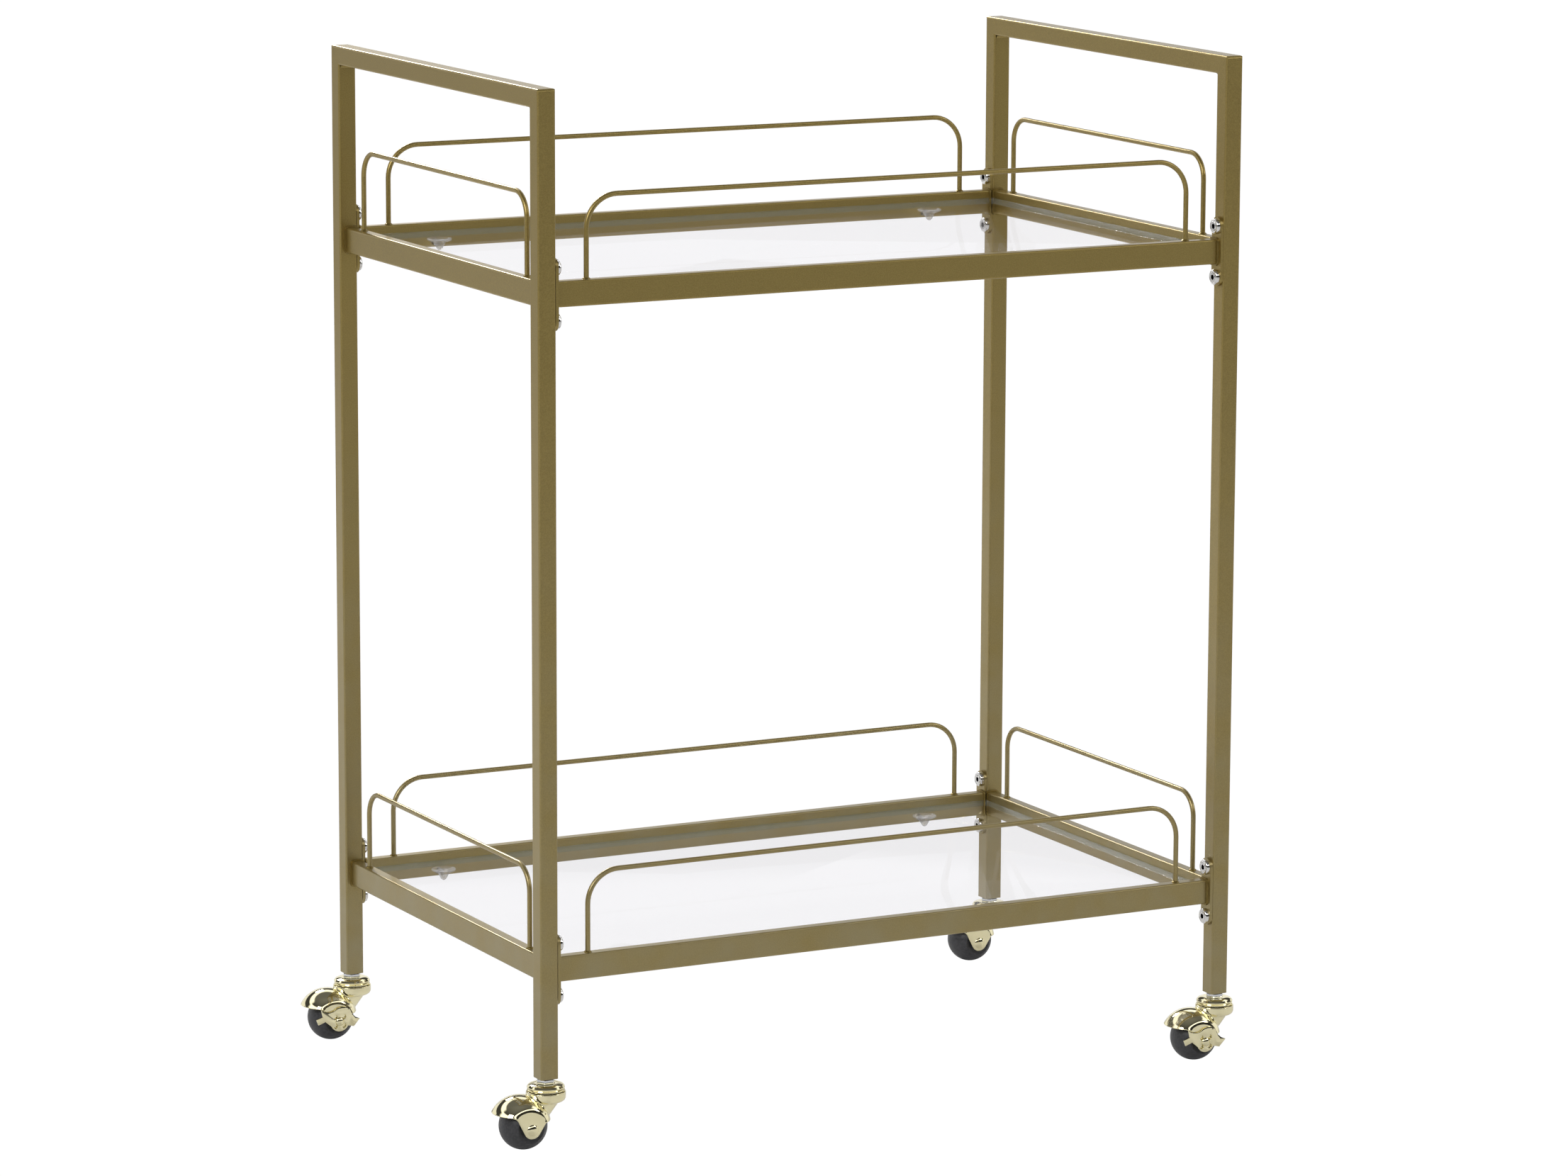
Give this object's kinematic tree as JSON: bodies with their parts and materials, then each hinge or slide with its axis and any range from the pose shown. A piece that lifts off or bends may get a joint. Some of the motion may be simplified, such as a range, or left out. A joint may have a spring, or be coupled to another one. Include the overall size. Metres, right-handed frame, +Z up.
{
  "type": "bar cart",
  "caption": "Two-shelf bar cart: welded square-tube side frames with handles, clear glass shelves, wire galleries and hooded swivel ball casters with brakes.",
  "frame": {"origin": "on the floor under the centre of the bounding box, casters included", "axes": "+Z up, X along the long side, Y across it; the casters trail towards -X"},
  "size_m": [0.6652, 0.422, 0.8225],
  "materials": {
    "frame_paint": "satin metallic antique gold paint",
    "bolt_chrome": "bright chrome plate",
    "zinc_steel": "bright zinc plate",
    "plain_steel": "plain steel",
    "insert_steel": "plain steel, pressed into the leg",
    "clear_glass": "clear tempered glass with polished edges",
    "clear_plastic": "clear soft plastic",
    "polished_brass": "polished pale brass plate",
    "black_wheel": "satin black rubber",
    "nylon_bush": "black nylon"
  },
  "bodies": {
    "frame": {"caster_bearing_balls": "plain_steel", "caster_cup_races": "polished_brass", "caster_lock_nuts": "zinc_steel", "caster_stems": "plain_steel", "end_plates_lower_back": "frame_paint", "end_plates_lower_front": "frame_paint", "end_plates_upper_back": "frame_paint", "end_plates_upper_front": "frame_paint", "handle_bar_left": "frame_paint", "handle_bar_right": "frame_paint", "joint_bolts": "bolt_chrome", "leg_back_left": "frame_paint", "leg_back_right": "frame_paint", "leg_front_left": "frame_paint", "leg_front_right": "frame_paint", "leg_inserts": "insert_steel", "lower_gallery_back": "frame_paint", "lower_gallery_front": "frame_paint", "lower_gallery_left": "frame_paint", "lower_gallery_right": "frame_paint", "lower_glass_shelf": "clear_glass", "lower_rail_back": "frame_paint", "lower_rail_front": "frame_paint", "lower_rail_left": "frame_paint", "lower_rail_right": "frame_paint", "lower_shelf_supports": "clear_plastic", "upper_gallery_back": "frame_paint", "upper_gallery_front": "frame_paint", "upper_gallery_left": "frame_paint", "upper_gallery_right": "frame_paint", "upper_glass_shelf": "clear_glass", "upper_rail_back": "frame_paint", "upper_rail_front": "frame_paint", "upper_rail_left": "frame_paint", "upper_rail_right": "frame_paint", "upper_shelf_supports": "clear_plastic", "weld_nuts": "plain_steel"},
    "fork_front_left": {"hooded_fork_front_left": "polished_brass", "axle_rivet_front_left": "polished_brass"},
    "wheel_front_left": {"ball_wheel_front_left": "black_wheel", "wheel_bush_front_left": "nylon_bush"},
    "fork_front_right": {"hooded_fork_front_right": "polished_brass", "axle_rivet_front_right": "polished_brass"},
    "wheel_front_right": {"ball_wheel_front_right": "black_wheel", "wheel_bush_front_right": "nylon_bush"},
    "brake_front_right": {"brake_plate_front_right": "polished_brass"},
    "fork_back_left": {"hooded_fork_back_left": "polished_brass", "axle_rivet_back_left": "polished_brass"},
    "wheel_back_left": {"ball_wheel_back_left": "black_wheel", "wheel_bush_back_left": "nylon_bush"},
    "brake_back_left": {"brake_plate_back_left": "polished_brass"},
    "fork_back_right": {"hooded_fork_back_right": "polished_brass", "axle_rivet_back_right": "polished_brass"},
    "wheel_back_right": {"ball_wheel_back_right": "black_wheel", "wheel_bush_back_right": "nylon_bush"}
  },
  "joints": [
    {"name": "swivel_front_left", "type": "hinge", "parent": "frame", "child": "fork_front_left", "pos_m": [-0.28799, -0.18581, 0.0444], "axis": [0, 0, 1], "continuous": true},
    {"name": "roll_front_left", "type": "hinge", "parent": "fork_front_left", "child": "wheel_front_left", "pos_m": [-0.30761, -0.18581, 0.019], "axis": [0, 1, 0], "continuous": true},
    {"name": "swivel_front_right", "type": "hinge", "parent": "frame", "child": "fork_front_right", "pos_m": [0.31701, -0.18581, 0.0444], "axis": [0, 0, 1], "continuous": true},
    {"name": "roll_front_right", "type": "hinge", "parent": "fork_front_right", "child": "wheel_front_right", "pos_m": [0.29739, -0.18581, 0.019], "axis": [0, 1, 0], "continuous": true},
    {"name": "brake_front_right", "type": "hinge", "parent": "fork_front_right", "child": "brake_front_right", "pos_m": [0.29739, -0.18581, 0.019], "axis": [0, 1, 0], "range_deg": [0, 20]},
    {"name": "swivel_back_left", "type": "hinge", "parent": "frame", "child": "fork_back_left", "pos_m": [-0.28799, 0.19119, 0.0444], "axis": [0, 0, 1], "continuous": true},
    {"name": "roll_back_left", "type": "hinge", "parent": "fork_back_left", "child": "wheel_back_left", "pos_m": [-0.30761, 0.19119, 0.019], "axis": [0, 1, 0], "continuous": true},
    {"name": "brake_back_left", "type": "hinge", "parent": "fork_back_left", "child": "brake_back_left", "pos_m": [-0.30761, 0.19119, 0.019], "axis": [0, 1, 0], "range_deg": [0, 20]},
    {"name": "swivel_back_right", "type": "hinge", "parent": "frame", "child": "fork_back_right", "pos_m": [0.31701, 0.19119, 0.0444], "axis": [0, 0, 1], "continuous": true},
    {"name": "roll_back_right", "type": "hinge", "parent": "fork_back_right", "child": "wheel_back_right", "pos_m": [0.29739, 0.19119, 0.019], "axis": [0, 1, 0], "continuous": true}
  ]
}
